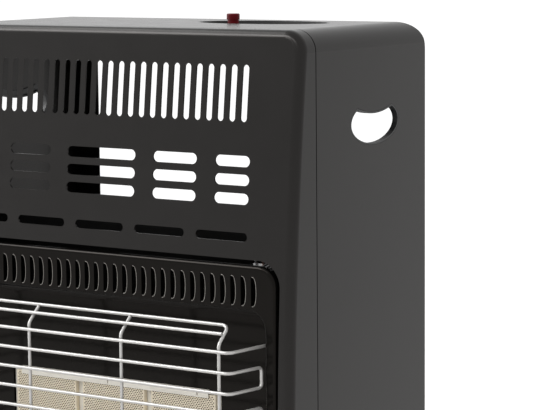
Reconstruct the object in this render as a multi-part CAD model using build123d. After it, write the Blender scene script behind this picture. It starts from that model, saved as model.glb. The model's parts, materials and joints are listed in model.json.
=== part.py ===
from build123d import *
import math
import os

# Portable gas cabinet heater, in millimetres.
# While it is drawn, X runs to the right seen from the front, Y runs to the rear from the
# seam between front cover and cabinet, and Z runs up from the floor.
# The finished pieces are moved along Y so that the origin lies under the middle of the whole.

# ---------------------------------------------------------------- driving dimensions
# Cabinet
width = 450.0
height = 735.0
body_depth = 210.0            # seam to the rear edge of the side panels
base_height = 62.0            # underside of the cabinet above the floor
sheet = 1.2                   # cabinet steel
top_side_radius = 21.0        # rounding between top and side panels
top_rear_radius = 28.0        # rounding at the rear of the top
rear_flange = 35.0            # side panels folded inwards at the rear
front_flange = 12.0           # side panels folded inwards at the seam
rear_top_lip = 8.0            # straight lip under the rear rounding
seat_gap = 0.3                # clearance between pieces that meet

# Front cover
face_depth = 50.3             # face ahead of the seam, lower half
face_depth_top = 21.4         # face ahead of the seam, at the top
face_straight_height = 294.0  # below this the face is upright
cover_sheet = 1.6
cover_edge_radius = 8.5
seam_gap = 1.3

# Slots of the front cover
tall_slot_count = 26
tall_slot_pitch = 13.15
tall_slot_width = 7.0
tall_slot_foot_drop = 85.7
tall_slot_head_drop = 32.6
pill_row_drops = (122.1, 139.5, 157.1)
pill_height = 10.5
pill_centre_length = 83.0
pill_middle_length = 51.0
pill_outer_length = 39.0
pill_gap = 21.0
air_slot_count = 5
air_slot_length = 58.4
air_slot_height = 8.3
air_slot_gap = 13.7
air_slot_drop = 192.6
air_slot_low_row = 140.0

# Radiant opening and reflector housing
opening_margin = 14.0
opening_drop = 213.0
opening_bottom = 184.0
opening_radius = 25.0
housing_gap = 5.2             # dark gap between the opening and the housing's lip
housing_front = -43.0
housing_lip_depth = 15.0
housing_lip_radius = 4.0
housing_sheet = 1.0
recess_margin = 18.0
recess_drop = 48.0
recess_bottom = 198.0
recess_radius = 19.0
recess_depth = 21.5
recess_floor_radius = 9.0
recess_edge_radius = 2.2
recess_seat_radius = 1.2
bracket_low = 250.0
bracket_drop = 54.0
bracket_sheet = 1.5
bracket_screw_inset = 20.0
louvre_margin = 8.0           # least space between louvres and recess side
louvre_pitch = 11.5
louvre_height = 30.0
louvre_depth = 5.8
louvre_bluntness = 0.5         # 1 for half an ellipse, less for fuller ends
louvre_facets = 12
louvre_drop = 30.0

# Wire guard
wire_radius = 1.6
weld_gap = 0.05               # crossing wires just touch where they are welded
guard_front = -83.0
guard_upright_inner = 56.0
guard_upright_inset = 24.5
guard_slope_run = 17.0
guard_slope_rise = 15.5
guard_slope_gap = 6.0
guard_lowest_wire = 229.2
guard_upper_drop = 32.5
guard_loop_pairs = 5
guard_corner_inset = 11.0
guard_side_gap = 2.4
guard_loop_back = -45.0
guard_hook_back = -37.0
guard_hook_reach = 5.0
guard_hook_bend = 2.4
guard_hole_radius = 2.2
guard_bend = 7.0
guard_loop_bend = 4.0
guard_leaning_share = 0.45    # place of the extra wire on the leaning ends

# Ceramic burner
burner_margin = 65.65         # recess side to the end of the burner
plaque_drop = 91.0
plaque_bottom = 245.0
plaque_thickness = 11.7
plaque_front = -23.0
plaque_corner = 2.0
plaque_rebate_width = 3.4     # step along both sides of a plaque
plaque_rebate_depth = 6.0
rail_end_inset = 11.85
rail_lip_overlap = 3.0
rail_rise = 5.0
burner_sheet = 1.2
divider_width = 7.6
rail_slot_left = -5.6
rail_slot_inset = 13.0
rail_slot_width = 1.3
rail_slot_height = 3.5
rail_slot_drop = 1.5
box_depth = 26.0
window_gap = 1.5              # window in the recess floor round the plaques
box_sheet = 1.0
box_tab = 13.0
box_corner = 4.0
venturi_radius = 11.0
venturi_wall = 1.0
venturi_bell_radius = 14.5
venturi_bottom = 172.0
venturi_bell_height = 14.0
venturi_centre_y = 3.0

# Gas line
injector_bar_height = 151.0
injector_bar_thickness = 2.0
injector_tip = 170.0
injector_thread_radius = 4.2
injector_socket = 5.0         # the pipe sits this deep in the injector
injector_body_length = 11.0
injector_body_radius = 7.5
injector_head_height = 6.0
injector_head_radius = 6.5
injector_cone_radii = (4.0, 2.0)
injector_jet_radius = 0.5
injector_bar_overhang = 20.0
injector_bar_reach = 10.0
injector_bar_flange = 16.0
pipe_radius = 3.0
pipe_bend = 12.0
pipe_lead_gap = 22.0          # nearest down pipe, the others stand further out
pipe_spacing = 10.0
pipe_outlet_spacing = 10.0
pipe_turn_drop = 37.0
pipe_fall_drop = 12.0
pipe_drop = 28.0              # nearest level run below the injector bar
lead_spacing = 8.0
lead_plane_y = 15.0
lead_margin = 18.65
lead_stand_off = 20.0
lead_rise_drop = 21.0
lead_pass_drop = 22.0
valve_port_rise = 14.0
pilot_stand_off = 12.5
pilot_sheet = 1.5
pilot_bracket_margin = 7.0
pilot_bracket_low = 266.0
pilot_bracket_top = 284.0
pilot_shelf_reach = 4.0
pilot_hole_radius = 2.6
pilot_burner_radius = 2.55
pilot_burner_top = 296.0
pilot_port_height = 293.0
pilot_port_radius = 1.6
pilot_port_reach = 5.0
pilot_collar_radius = 3.5
pilot_collar_height = 3.0
probe_radius = 2.5
thermocouple_top = 302.0
electrode_top = 298.0
electrode_wire_radius = 0.6
electrode_wire_bend = 2.0
electrode_wire_rise = 10.0
electrode_wire_reach = 11.2
pilot_pipe_radius = 1.5
thermocouple_lead_radius = 1.2
ignition_lead_radius = 1.5
ignition_lead_inset = 4.0     # the lead meets the igniter this far above its lower end
lead_start_height = 270.0
lead_turn_height = 254.0
lead_first_bend = 10.0
lead_second_bend = 30.0
lead_wide_bend = 40.0
lead_rise_bend = 30.0
lead_end_bend = 12.0
lead_corner_bend = 15.0

# Heat shield
shield_front = 22.0
shield_rise = 30.0
shield_notch_depth = 52.0
shield_notch_left = 8.0
shield_notch_right = 38.0

# Base tray and rear cover
tray_lip = 15.0
rear_depth = 325.0            # rear face of the rear cover behind the seam
rear_cover_inset = 39.0
rear_cover_radius = 85.0
rear_cover_drop = 245.0
rear_cover_bottom = 66.0
rear_cover_top_radius = 18.0
rear_rim = 19.0
hook_width = 5.0
hook_drop = 12.0
hook_lift = 20.0              # the cover lifts this far and then comes away
hook_low_row = 150.0
hook_high_drop = 70.0
rear_rim_rise = 10.0
rear_rim_corner = 8.0
rear_passage = 5.0
vent_rows = 9
vent_pitch = 16.0
vent_length = 120.0
vent_height = 5.0
vent_drop = 160.0

# Side handles
handle_y = 108.4
handle_drop = 94.0
handle_half_length = 46.8
handle_half_height = 22.0
handle_dip_radius = 105.0
handle_dip_depth = 11.5
handle_tip_radius = 3.0
handle_depth = 6.0
handle_wall = 1.6
handle_rim = 6.0

# Control dish on the top panel
dish_offset = 30.0
dish_y = 122.0
dish_half_length = 74.5
dish_half_width = 39.0
dish_wall = 2.0
dish_flange = 5.0
dish_depth = 22.0
knob_inset = 28.0
knob_radius = 20.0
knob_clearance = 4.6
knob_height = 13.5
knob_press = 4.0
knob_flutes = 18
stem_radius = 4.0
driver_radius = 6.5
running_gap = 0.05
valve_neck_radius = 9.0
valve_width = 44.0
valve_depth = 36.0
valve_drop = 51.0
valve_body_height = 38.0
valve_corner = 5.0
valve_shoulder = 4.0
valve_neck_rise = 3.0
valve_nut_radius = 12.5
valve_nut_height = 2.4
driver_bore_depth = 12.0
driver_end_gap = 2.0
driver_rise = 2.0
stem_end_gap = 5.0
stem_flat_share = 0.6
knob_roof = 4.0
knob_edge_radius = 2.0
knob_flute_radius = 2.6
knob_flute_offset = 1.4
knob_skirt = 3.0
knob_hollow_radius = 14.5
knob_hollow_height = 4.4
knob_mark_width = 1.2
knob_mark_length = 28.0
knob_mark_depth = 0.8
piezo_offset = 66.5
piezo_cap_radius = 6.65
piezo_stem_radius = 5.8
piezo_body_radius = 8.0
piezo_rise = 8.5
piezo_cap_height = 6.0
piezo_neck_drop = 4.0
piezo_body_drop = 19.0
piezo_travel = 6.0
piezo_flange = 3.0
piezo_bore_rise = 12.0
piezo_nut_wall = 3.5
piezo_nut_height = 4.0
piezo_nut_edge = 1.0
piezo_cap_edge = 1.2
hose_tail_radius = 4.9
hose_tail_length = 24.0
hose_tail_bore = 3.0
hose_tail_thread = 8.0
hose_collar_length = 8.0
hose_collar_radius = 7.0

# Screws
screw_radius = 2.0
screw_head_height = 2.0
screw_grip = 2.5
screw_hole_reach = 3.0
castor_screw_head = 1.6
castor_screw_end = 1.5

# Castors
castor_front_inset = 40.0
castor_front_y = -8.0
castor_rear_inset = 46.0
castor_rear_y = 262.0
castor_plate = 46.0
castor_plate_thickness = 2.5
castor_trail = 14.0
wheel_radius = 21.0
wheel_width = 18.0
axle_radius = 3.0
kingpin_radius = 4.0
castor_hole_spacing = 34.0
castor_plate_corner = 4.0
kingpin_head_low = 48.7
kingpin_head_top = 51.7
kingpin_head_radius = 6.5
fork_low = 52.0
fork_sheet = 3.0
fork_crown_radius = 17.0
fork_boss_radius = 9.0
fork_leg_sheet = 2.0
fork_leg_gap = 1.5
fork_leg_reach = 9.0
fork_leg_front = 2.0
wheel_edge_radius = 3.0
wheel_groove_depth = 2.5
wheel_groove_radii = (7.0, 14.0)
axle_head_radius = 4.6
axle_head_height = 1.5

# ---------------------------------------------------------------- derived places
# Heights that follow the cabinet's height
tall_slot_low = height - tall_slot_foot_drop
tall_slot_high = height - tall_slot_head_drop
pill_rows = [height - drop for drop in pill_row_drops]
air_slot_top_row = height - air_slot_drop
opening_top = height - opening_drop
recess_top = opening_top - recess_drop
louvre_middle = opening_top - louvre_drop
guard_upper_wire = recess_top - guard_upper_drop
guard_slope_low = guard_upper_wire + guard_slope_gap
guard_pitch = (guard_upper_wire - guard_lowest_wire) / (2 * guard_loop_pairs + 1)
plaque_top = recess_top - plaque_drop
rail_lip_low = plaque_top - rail_lip_overlap
rail_top = plaque_top + rail_rise
rail_slot_low = plaque_top - rail_slot_drop
bracket_high = recess_top - bracket_drop
shield_top = opening_top + shield_rise
shield_notch_bottom = shield_top - shield_notch_depth
pipe_fall_height = shield_top - pipe_fall_drop
lead_pass_height = shield_top - lead_pass_drop
dish_floor_top = height - dish_depth
knob_low = dish_floor_top + knob_clearance
knob_top = knob_low + knob_height
valve_low = dish_floor_top - valve_drop
valve_high = valve_low + valve_body_height
valve_port_height = valve_low + valve_port_rise
driver_bore_low = valve_high - driver_bore_depth
driver_low = driver_bore_low + driver_end_gap
stem_low = driver_low + stem_end_gap
pipe_turn_height = valve_low - pipe_turn_drop
lead_rise_height = pipe_turn_height - lead_rise_drop
piezo_top = height + piezo_rise
piezo_neck_top = height - piezo_neck_drop
piezo_body_low = dish_floor_top - piezo_body_drop
piezo_bore_low = piezo_body_low + piezo_bore_rise
handle_z = height - handle_drop
rear_cover_top = height - rear_cover_drop
hook_rows = (hook_low_row, rear_cover_top - hook_high_drop)
vent_first_row = rear_cover_top - vent_drop

# Places that follow the cabinet's width
opening_half_width = width / 2 - opening_margin
recess_half_width = opening_half_width - recess_margin
guard_loop_half_width = recess_half_width - guard_side_gap
guard_corner_half_width = recess_half_width - guard_corner_inset
guard_upright_outer = recess_half_width - guard_upright_inset
rear_cover_half_width = width / 2 - rear_cover_inset
castor_front_x = width / 2 - castor_front_inset
castor_rear_x = rear_cover_half_width - castor_rear_inset
burner_half_width = recess_half_width - burner_margin
plaque_pitch = 2 * burner_half_width / 3
rail_half_length = burner_half_width - rail_end_inset
rail_slot_places = (rail_slot_left, rail_half_length - rail_slot_inset)
lead_first_x = burner_half_width + lead_margin
pipe_down_x = lead_first_x + pipe_lead_gap
knob_x = lead_first_x - knob_inset
dish_x = knob_x - dish_offset
piezo_x = knob_x - piezo_offset
shield_notch_low_x = lead_first_x - shield_notch_left
shield_notch_high_x = pipe_down_x + shield_notch_right
louvre_count = int(2 * (recess_half_width - louvre_margin) / louvre_pitch)

# Everything else
inner_half_width = width / 2 - sheet
guard_face = guard_front - 2 * wire_radius - weld_gap
front_most = guard_face - wire_radius
origin_y = (front_most + rear_depth) / 2
top_underside = height - sheet
housing_half_width = opening_half_width - housing_gap
housing_top = opening_top - housing_gap
housing_bottom = opening_bottom + housing_gap
recess_back = housing_front + recess_depth
plaque_back = plaque_front + plaque_thickness
rail_bottom = plaque_bottom - (rail_top - plaque_top)
lip_front = plaque_front - seat_gap - burner_sheet
box_front = recess_back + housing_sheet
tray_floor = base_height + sheet
castor_top = base_height
pilot_front = recess_back - pilot_stand_off
long = 2 * height             # longer than anything that is cut
overcut = 1.0                 # cutting bodies run this far past what they cut
near = 1.0                    # edges this close to a face count as lying on it


# ---------------------------------------------------------------- shared helpers
def block(x_range, y_range, z_range):
    """Rectangular block between pairs of coordinates."""
    ranges = (x_range, y_range, z_range)
    size = [high - low for low, high in ranges]
    middle = [(high + low) / 2 for low, high in ranges]
    return Pos(*middle) * Box(*size)


def upright(x, y, z_low, z_high, radius):
    """Upright round bar."""
    return Pos(x, y, (z_low + z_high) / 2) * Cylinder(radius, z_high - z_low)


def bar_x(x_low, x_high, y, z, radius):
    """Round bar along X."""
    middle = Pos((x_low + x_high) / 2, y, z) * Rot(0, 90, 0)
    return middle * Cylinder(radius, x_high - x_low)


def bar_y(x, y_low, y_high, z, radius):
    """Round bar along Y."""
    middle = Pos(x, (y_low + y_high) / 2, z) * Rot(90, 0, 0)
    return middle * Cylinder(radius, y_high - y_low)


def tube(points, bends, radius):
    """Round rod along straight runs joined by tangent arcs."""
    path = FilletPolyline(*points, radius=bends)
    section = Plane(origin=path @ 0, z_dir=path % 0) * Circle(radius)
    return sweep(section, path=path)


def round_rectangle(half_width, low, high, radius):
    """Rounded rectangle in X and Z, facing along Y."""
    middle = (low + high) / 2
    return Pos(0, middle) * RectangleRounded(2 * half_width, high - low, radius)


def slab(outline, y_low, y_high):
    """Outline in X and Z given thickness from y_low to y_high."""
    plane = Plane(origin=(0, y_high, 0), x_dir=(1, 0, 0), z_dir=(0, -1, 0))
    return extrude(plane * outline, amount=y_high - y_low)


def both_sides(shape):
    """The shape and its mirror image in the middle plane."""
    return shape + mirror(shape, about=Plane.YZ)


# ---------------------------------------------------------------- cabinet shell
def body_envelope(inset):
    """Cabinet envelope drawn in by inset, with its rounded top edges."""
    half = width / 2 - inset
    low = base_height - (overcut if inset else 0)
    front = -overcut if inset else 0
    top = height - inset
    rear = body_depth - inset
    section = Pos(0, (low + top) / 2) * Rectangle(2 * half, top - low)
    upper = section.vertices().group_by(Axis.Y)[-1]
    section = fillet(upper, top_side_radius - inset)
    length = slab(section, front, rear)
    side = Pos((front + rear) / 2, (low + top) / 2) * Rectangle(rear - front, top - low)
    rear_corner = side.vertices().group_by(Axis.Y)[-1].sort_by(Axis.X)[-1]
    side = fillet(rear_corner, top_rear_radius - inset)
    return length & extrude(Plane.YZ * side, amount=half, both=True)


def handle_outline(grow):
    """Smile-shaped outline of a handle in Y and Z, grown all round."""
    oval = Ellipse(handle_half_length + grow, handle_half_height + grow)
    dip_z = handle_half_height - handle_dip_depth + handle_dip_radius
    outline = oval - Pos(0, dip_z) * Circle(handle_dip_radius - grow)
    tips = [v for v in outline.vertices() if v.Y > handle_half_height / 3]
    return Pos(handle_y, handle_z) * fillet(tips, handle_tip_radius + grow)


def dish_outline(grow):
    """Oval of the control dish in X and Y, grown all round."""
    return Pos(dish_x, dish_y) * Ellipse(dish_half_length + grow, dish_half_width + grow)


def hook_slots():
    """Slots in the rear flanges that take the rear cover's hooks."""
    slots = Part()
    hook_x = width / 2 - rear_flange + rear_rim / 2
    for row in hook_rows:
        high = row + hook_drop + hook_lift + 2 * sheet
        span = (hook_x - hook_width / 2 - seat_gap, hook_x + hook_width / 2 + seat_gap)
        slots += block(span, (body_depth - 2 * sheet, body_depth + overcut), (row, high))
    return both_sides(slots)


def cabinet_shell():
    """Top and sides in one folded sheet, open at the front, rear and bottom."""
    shell = body_envelope(0) - body_envelope(sheet)
    opening_half = width / 2 - rear_flange
    opening_high = height - top_rear_radius - rear_top_lip
    shell -= block(
        (-opening_half, opening_half),
        (body_depth - 2 * sheet, body_depth + overcut),
        (base_height - overcut, opening_high),
    )
    flange = block(
        (inner_half_width - front_flange, inner_half_width),
        (0, sheet),
        (base_height + tray_lip + seat_gap, height - top_side_radius),
    )
    shell += both_sides(flange)
    shell -= extrude(Plane.YZ * handle_outline(0), amount=width, both=True)
    shell -= Pos(0, 0, height) * extrude(dish_outline(0), amount=2 * sheet, both=True)
    return shell - hook_slots() - screw_clearance(0, bracket_screw_points())


def handle_insert():
    """Plastic grip that lines the right handle hole, with its rim behind the panel."""
    outer = width / 2
    depth = handle_depth
    sleeve = handle_outline(-seat_gap)
    hollow = handle_outline(-seat_gap - handle_wall)
    back = outer - sheet - seat_gap
    rim = Plane.YZ.offset(back - handle_wall) * handle_outline(handle_rim)
    insert = extrude(Plane.YZ.offset(outer - depth) * sleeve, amount=depth)
    insert += extrude(rim, amount=handle_wall)
    return insert - extrude(Plane.YZ * hollow, amount=width, both=True)


# ---------------------------------------------------------------- front cover
def face_curve(inset):
    """Centre height, centre distance and radius of the leaning upper face."""
    rise = height - face_straight_height
    lean = face_depth - face_depth_top
    radius = (rise**2 + lean**2) / (2 * lean)
    return radius - inset, -face_depth + radius


def face_y(z, inset=0.0):
    """Place of the face at a height."""
    radius, centre = face_curve(inset)
    if z <= face_straight_height:
        return centre - radius
    return centre - math.sqrt(radius**2 - (z - face_straight_height) ** 2)


def cover_envelope(inset):
    """Front cover's envelope drawn in by inset."""
    back = -seam_gap + (overcut if inset else 0)
    low = base_height - (overcut if inset else 0)
    top = height - inset
    middle = (face_straight_height + top) / 2
    corner_low = (face_y(low, inset), low)
    corner_bend = (face_y(face_straight_height, inset), face_straight_height)
    bend_middle = (face_y(middle, inset), middle)
    corner_top = (face_y(top, inset), top)
    outline = Line((back, low), corner_low) + Line(corner_low, corner_bend)
    outline += ThreePointArc(corner_bend, bend_middle, corner_top)
    outline += Line(corner_top, (back, top)) + Line((back, top), (back, low))
    half = width / 2 - inset
    solid = extrude(Plane.YZ * make_face(outline), amount=half, both=True)
    along_top = solid.edges().filter_by(Axis.Y).group_by(Axis.Z)[-1]
    solid = fillet(along_top, top_side_radius - inset)
    front = [
        edge
        for edge in solid.edges()
        if abs(edge.center().Y - face_y(edge.center().Z, inset)) < near
        and edge.center().Z > low + 2 * near
    ]
    return fillet(front, cover_edge_radius - inset)


def pill(length, thickness, x, z):
    """Round-ended slot in X and Z."""
    return Pos(x, z) * SlotOverall(length, thickness)


def tall_slots():
    """Upright slots across the top of the cover."""
    slots = Sketch()
    middle = (tall_slot_low + tall_slot_high) / 2
    slot = Rot(0, 0, 90) * SlotOverall(tall_slot_high - tall_slot_low, tall_slot_width)
    for index in range(tall_slot_count):
        x = (index - (tall_slot_count - 1) / 2) * tall_slot_pitch
        slots += Pos(x, middle) * slot
    return slots


def pill_slots():
    """Three rows of level slots below the upright ones."""
    middle_x = pill_centre_length / 2 + pill_gap + pill_middle_length / 2
    outer_x = middle_x + pill_middle_length / 2 + pill_gap + pill_outer_length / 2
    slots = Sketch()
    for row in pill_rows:
        slots += pill(pill_centre_length, pill_height, 0, row)
        for side in (-1, 1):
            slots += pill(pill_middle_length, pill_height, side * middle_x, row)
            slots += pill(pill_outer_length, pill_height, side * outer_x, row)
    return slots


def air_slots(row):
    """One row of narrow level slots."""
    slots = Sketch()
    for index in range(air_slot_count):
        x = (index - (air_slot_count - 1) / 2) * (air_slot_length + air_slot_gap)
        slots += pill(air_slot_length, air_slot_height, x, row)
    return slots


def front_cover():
    """Bulged front with its slots and the radiant opening."""
    cover = cover_envelope(0) - cover_envelope(cover_sheet)
    holes = tall_slots() + pill_slots()
    holes += air_slots(air_slot_top_row)
    holes += air_slots(air_slot_low_row)
    holes += round_rectangle(opening_half_width, opening_bottom, opening_top, opening_radius)
    return cover - slab(holes, -face_depth - overcut, -face_depth_top + 4 * cover_sheet)


# ---------------------------------------------------------------- reflector housing
def louvre(extra, depth):
    """Quarter-round pocket behind the sheet with tapered ends and its mouth to the left."""
    half = louvre_height / 2 - extra
    points = []
    for index in range(louvre_facets + 1):
        angle = math.pi * index / louvre_facets
        bulge = depth * math.sin(angle) ** louvre_bluntness
        points.append((bulge, -half * math.cos(angle)))
    points[0] = (0, -half)
    points[-1] = (0, half)
    segment = make_face(Polyline(*points, points[0]))
    plane = Plane(origin=(0, housing_front, 0), x_dir=(1, 0, 0), z_dir=(0, -1, 0))
    return revolve(plane * segment, Axis((0, housing_front, 0), (0, 0, 1)), 90)


def louvre_places():
    """Mouth of each louvre, in X."""
    first = -(louvre_count - 1) / 2 * louvre_pitch
    return [first + index * louvre_pitch for index in range(louvre_count)]


def hook_holes():
    """Holes in the recess sides for the guard's four hooked ends."""
    holes = Part()
    span = (recess_half_width - overcut, recess_half_width + 4 * overcut)
    for z in (guard_upper_wire, guard_lower_wire()):
        holes += bar_x(*span, guard_hook_back, z, guard_hole_radius)
    return both_sides(holes)


def round_recess_edge(housing, y, radius):
    """Rounds the housing's edges round the recess at one depth."""
    reach = 2 * near
    ring = [
        edge
        for edge in housing.edges()
        if abs(edge.center().Y - y) < seat_gap / 3
        and abs(edge.center().X) < recess_half_width + reach
        and recess_bottom - reach < edge.center().Z < recess_top + reach
    ]
    return fillet(ring, radius)


def reflector_housing():
    """Pressed black pan with a rolled lip, a louvred brow and a recess for the burner."""
    lip = round_rectangle(
        housing_half_width, housing_bottom, housing_top, opening_radius - housing_gap
    )
    tray = slab(lip, housing_front, housing_front + housing_lip_depth)
    rim = tray.edges().group_by(Axis.Y)[0]
    tray = fillet(rim, housing_lip_radius)
    hollow = slab(offset(lip, -housing_sheet), housing_front + housing_sheet, long)
    rim = hollow.edges().group_by(Axis.Y)[0]
    tray -= fillet(rim, housing_lip_radius - housing_sheet)

    recess = round_rectangle(recess_half_width, recess_bottom, recess_top, recess_radius)
    pan = slab(offset(recess, housing_sheet), housing_front + housing_sheet / 2, box_front)
    pan = fillet(pan.edges().group_by(Axis.Y)[-1], recess_floor_radius + housing_sheet)
    well = slab(recess, housing_front - overcut, recess_back)
    well = fillet(well.edges().group_by(Axis.Y)[-1], recess_floor_radius)

    outer = louvre(0, louvre_depth + housing_sheet)
    inner = louvre(housing_sheet, louvre_depth)
    places = [Pos(x, 0, louvre_middle) for x in louvre_places()]
    housing = round_recess_edge(tray + pan - well, housing_front, recess_edge_radius)
    housing = round_recess_edge(housing, housing_front + housing_sheet, recess_seat_radius)
    housing += [place * outer for place in places]
    housing -= [place * inner for place in places]
    window = block(
        (-burner_half_width - window_gap, burner_half_width + window_gap),
        (recess_back - overcut, box_front + overcut),
        (plaque_bottom - window_gap, plaque_top + window_gap),
    )
    return housing - window - hook_holes() - lead_holes()


def lead_holes():
    """Holes in the recess floor for the pilot pipe, thermocouple and spark lead."""
    holes = Part()
    depth = (recess_back - overcut, box_front + overcut)
    for index in range(3):
        x = lead_first_x + index * lead_spacing
        holes += bar_y(x, *depth, lead_turn_height, pilot_hole_radius)
    return holes


# ---------------------------------------------------------------- wire guard
def guard_lower_wire():
    """Height of the lowest level wire on the upright part of the guard."""
    return guard_upper_wire - (2 * guard_loop_pairs + 1) * guard_pitch


def guard_foot():
    """Height at which the uprights start to lean back at the bottom."""
    return guard_lower_wire() - (guard_slope_low - guard_upper_wire)


def guard_profile(x):
    """Upright wire of the guard with its leaning ends."""
    back = guard_front + guard_slope_run
    foot = guard_foot()
    return [
        (x, back, guard_slope_low + guard_slope_rise),
        (x, guard_front, guard_slope_low),
        (x, guard_front, foot),
        (x, back, foot - guard_slope_rise),
    ]


def guard_frame():
    """Outer wire: top, both outer uprights and bottom in one ring."""
    points = guard_profile(guard_upright_outer)
    top = (0, points[0][1], points[0][2])
    bottom = (0, points[3][1], points[3][2])
    return both_sides(tube([top] + points + [bottom], [guard_bend] * 4, wire_radius))


def guard_loop(z_high, z_low):
    """Loop that joins two level wires round both sides."""
    points = []
    for z, order in ((z_high, 1), (z_low, -1)):
        run = [
            (0, guard_face, z),
            (guard_corner_half_width, guard_face, z),
            (guard_loop_half_width, guard_loop_back, z),
        ]
        points += run[::order]
    bends = [guard_bend, guard_loop_bend, guard_loop_bend, guard_bend]
    return both_sides(tube(points, bends, wire_radius))


def guard_hook(z):
    """Single level wire whose hooked ends sit in the recess sides."""
    points = [
        (0, guard_face, z),
        (guard_corner_half_width, guard_face, z),
        (guard_loop_half_width, guard_hook_back, z),
        (recess_half_width + guard_hook_reach, guard_hook_back, z),
    ]
    return both_sides(tube(points, [guard_bend, guard_hook_bend], wire_radius))


def leaning_wire(share, side):
    """Straight level wire laid on the leaning top (side 1) or bottom (side -1)."""
    slope = math.hypot(guard_slope_run, guard_slope_rise)
    lift = 2 * wire_radius + weld_gap
    y = guard_front + share * guard_slope_run - lift * guard_slope_rise / slope
    rise = share * guard_slope_rise + lift * guard_slope_run / slope
    start = guard_slope_low if side > 0 else guard_foot()
    half = guard_upright_outer
    return bar_x(-half, half, y, start + side * rise, wire_radius)


def wire_guard():
    """Welded wire guard in front of the burner, one solid per wire."""
    wires = [guard_frame(), guard_hook(guard_upper_wire), guard_hook(guard_lower_wire())]
    for pair in range(guard_loop_pairs):
        z = guard_upper_wire - (2 * pair + 1) * guard_pitch
        wires.append(guard_loop(z, z - guard_pitch))
    for side in (-1, 1):
        points = guard_profile(side * guard_upright_inner)
        short = wire_radius + weld_gap
        points[0] = (points[0][0], points[0][1] - short, points[0][2] - short)
        points[3] = (points[3][0], points[3][1] - short, points[3][2] + short)
        wires.append(tube(points, [guard_bend, guard_bend], wire_radius))
        wires.append(leaning_wire(guard_leaning_share, side))
    return Part() + wires


# ---------------------------------------------------------------- burner
def plaque(index):
    """Ceramic plaque: left, centre or right for index -1, 0 or 1."""
    half = plaque_pitch / 2 - burner_sheet / 2 - seat_gap
    x = index * plaque_pitch
    rows = (plaque_bottom, plaque_top)
    solid = block((x - half, x + half), (plaque_front, plaque_back), rows)
    solid = fillet(solid.edges().filter_by(Axis.Y), plaque_corner)
    step = half - plaque_rebate_width
    rebate = (plaque_front - overcut, plaque_front + plaque_rebate_depth)
    rows = (plaque_bottom - overcut, plaque_top + overcut)
    solid -= block((x - half - overcut, x - step), rebate, rows)
    return solid - block((x + step, x + half + overcut), rebate, rows)


def burner_rail():
    """Upper rail: a lip in front of the plaques and a web over them."""
    lip = block(
        (-rail_half_length, rail_half_length),
        (lip_front, lip_front + burner_sheet),
        (rail_lip_low, rail_top),
    )
    web = block(
        (-rail_half_length, rail_half_length),
        (lip_front, recess_back - seat_gap),
        (rail_top - burner_sheet, rail_top),
    )
    rail = lip + web
    for x in rail_slot_places:
        span = (x - rail_slot_width / 2, x + rail_slot_width / 2)
        rows = (rail_slot_low, rail_slot_low + rail_slot_height)
        rail -= block(span, (lip_front - overcut, plaque_front), rows)
    corner = rail.edges().filter_by(Axis.X).group_by(Axis.Z)[-1].sort_by(Axis.Y)[0]
    return fillet(corner, burner_sheet * 0.9)


def lower_rail():
    """Lower rail, the upper one turned over."""
    middle = (plaque_top + plaque_bottom) / 2
    return mirror(burner_rail(), about=Plane.XY.offset(middle))


def burner_dividers():
    """Two strips on the plaques' inner steps and two on their outer ends, each with a web."""
    low = plaque_bottom
    high = plaque_top
    strips = Part()
    for side in (-1, 1):
        x = side * plaque_pitch / 2
        end = side * (burner_half_width + burner_sheet / 2)
        half = divider_width / 2
        back = plaque_front + plaque_rebate_depth - seat_gap
        lip = (back - burner_sheet, back)
        stem = (back - burner_sheet, plaque_back)
        strips += block((x - half, x + half), lip, (low, high))
        strips += block((x - burner_sheet / 2, x + burner_sheet / 2), stem, (low, high))
        span = sorted((end - side * half, end + side * burner_sheet / 2))
        strips += block(span, lip, (low, high))
        strips += block((end - burner_sheet / 2, end + burner_sheet / 2), stem, (low, high))
    return strips


def burner_box(index):
    """Mixing chamber behind one plaque, with tabs welded behind the recess floor."""
    x = index * plaque_pitch
    half = plaque_pitch / 2 - 2 * box_sheet
    span = (x - half, x + half)
    low, high = box_low(), box_high()
    seat = plaque_back + seat_gap
    back = seat + box_depth
    outer = block(span, (seat, back), (low, high))
    outer = fillet(outer.edges().group_by(Axis.Y)[-1], box_corner)
    cavity = block(
        (x - half + box_sheet, x + half - box_sheet),
        (seat - overcut, back - box_sheet),
        (low + box_sheet, high - box_sheet),
    )
    cavity = fillet(cavity.edges().group_by(Axis.Y)[-1], box_corner - box_sheet)
    solid = outer - cavity
    tab = (x - half / 2, x + half / 2)
    tab_depth = (box_front, box_front + box_sheet)
    solid += block(span, (box_front, seat), (high - box_sheet, high))
    solid += block(span, (box_front, seat), (low, low + box_sheet))
    solid += block(tab, tab_depth, (high - box_sheet, high + box_tab))
    solid += block(tab, tab_depth, (low - box_tab, low + box_sheet))
    neck = venturi_radius + running_gap
    return solid - upright(x, venturi_centre_y, low - overcut, low + 2 * box_sheet, neck)


def box_low():
    """Underside of the mixing chambers."""
    return plaque_bottom - seat_gap - box_sheet


def box_high():
    """Upper side of the mixing chambers."""
    return plaque_top + seat_gap + box_sheet


def screw_clearance(y, points, radius=screw_radius + seat_gap):
    """Screw holes along Y through a sheet at a depth."""
    holes = Part()
    for x, z in points:
        holes += bar_y(x, y - screw_hole_reach, y + screw_hole_reach, z, radius)
    return holes


def bracket_screw_points():
    """Screws of the two housing brackets, in X and Z."""
    x = inner_half_width - front_flange / 2
    rows = (bracket_low + bracket_screw_inset, bracket_high - bracket_screw_inset)
    return [(side * x, z) for side in (-1, 1) for z in rows]


def bracket_screws():
    """Screws driven forwards through the cabinet's front flanges into the brackets."""
    screws = Part()
    for x, z in bracket_screw_points():
        screws += bar_y(x, sheet - screw_grip, sheet, z, screw_radius)
        screws += bar_y(x, sheet, sheet + screw_head_height, z, 2 * screw_radius)
    return screws


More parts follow.
